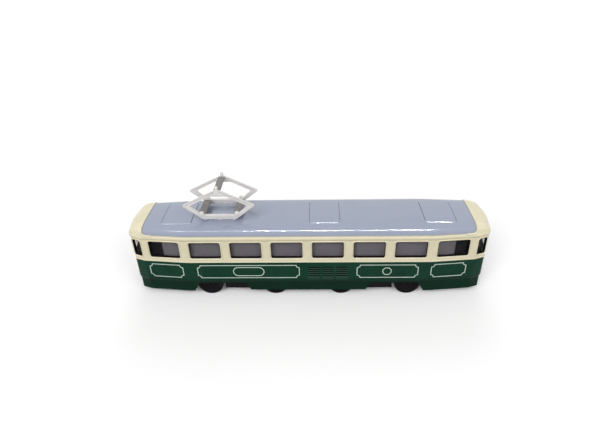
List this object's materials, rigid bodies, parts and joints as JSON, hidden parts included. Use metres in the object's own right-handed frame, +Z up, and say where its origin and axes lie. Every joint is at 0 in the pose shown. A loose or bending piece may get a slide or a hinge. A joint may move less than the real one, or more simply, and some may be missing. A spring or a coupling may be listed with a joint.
{
  "type": "toy metro railcar",
  "caption": "Small die-cast toy metro railcar: green lower body, cream window band, grey roof with a fixed double-diamond pantograph, black chassis with turning wheelsets.",
  "frame": {"origin": "on the floor below the middle of the car", "axes": "+X along the car to its front end, +Y to its left side, +Z up"},
  "size_m": [0.188, 0.0358, 0.0622],
  "materials": {
    "green_paint": "glossy dark green enamel",
    "cream_paint": "satin cream enamel",
    "roof_grey": "satin blue-grey plastic",
    "smoked_glass": "clear moulded plastic, lightly smoked",
    "liner_grey": "matt dark grey plastic",
    "black_plastic": "satin black plastic",
    "steel": "bright steel wire",
    "silver_plastic": "silver coated plastic",
    "strap_grey": "satin grey plastic",
    "lamp_clear": "clear lamp plastic"
  },
  "bodies": {
    "root": {"lower_body": "green_paint", "upper_body": "cream_paint", "roof_panel": "roof_grey", "window_glazing": "smoked_glass", "saloon_liner": "liner_grey", "chassis": "black_plastic", "headlamp_rear_right": "lamp_clear", "headlamp_rear_left": "lamp_clear", "headlamp_front_right": "lamp_clear", "headlamp_front_left": "lamp_clear", "pantograph_right_frame": "silver_plastic", "pantograph_left_frame": "silver_plastic", "pantograph_contact_bar": "strap_grey", "pantograph_base_strap_rear": "strap_grey", "pantograph_base_strap_front": "strap_grey"},
    "wheelset_1": {"axle_1": "steel", "wheel_1_right": "black_plastic", "wheel_1_left": "black_plastic"},
    "wheelset_2": {"axle_2": "steel", "wheel_2_right": "black_plastic", "wheel_2_left": "black_plastic"},
    "wheelset_3": {"axle_3": "steel", "wheel_3_right": "black_plastic", "wheel_3_left": "black_plastic"},
    "wheelset_4": {"axle_4": "steel", "wheel_4_right": "black_plastic", "wheel_4_left": "black_plastic"}
  },
  "joints": [
    {"name": "wheelset_1_spin", "type": "hinge", "parent": "root", "child": "wheelset_1", "pos_m": [-0.0531, 0, 0.007], "axis": [0, 1, 0], "continuous": true},
    {"name": "wheelset_2_spin", "type": "hinge", "parent": "root", "child": "wheelset_2", "pos_m": [-0.0177, 0, 0.007], "axis": [0, 1, 0], "continuous": true},
    {"name": "wheelset_3_spin", "type": "hinge", "parent": "root", "child": "wheelset_3", "pos_m": [0.0177, 0, 0.007], "axis": [0, 1, 0], "continuous": true},
    {"name": "wheelset_4_spin", "type": "hinge", "parent": "root", "child": "wheelset_4", "pos_m": [0.0531, 0, 0.007], "axis": [0, 1, 0], "continuous": true}
  ]
}
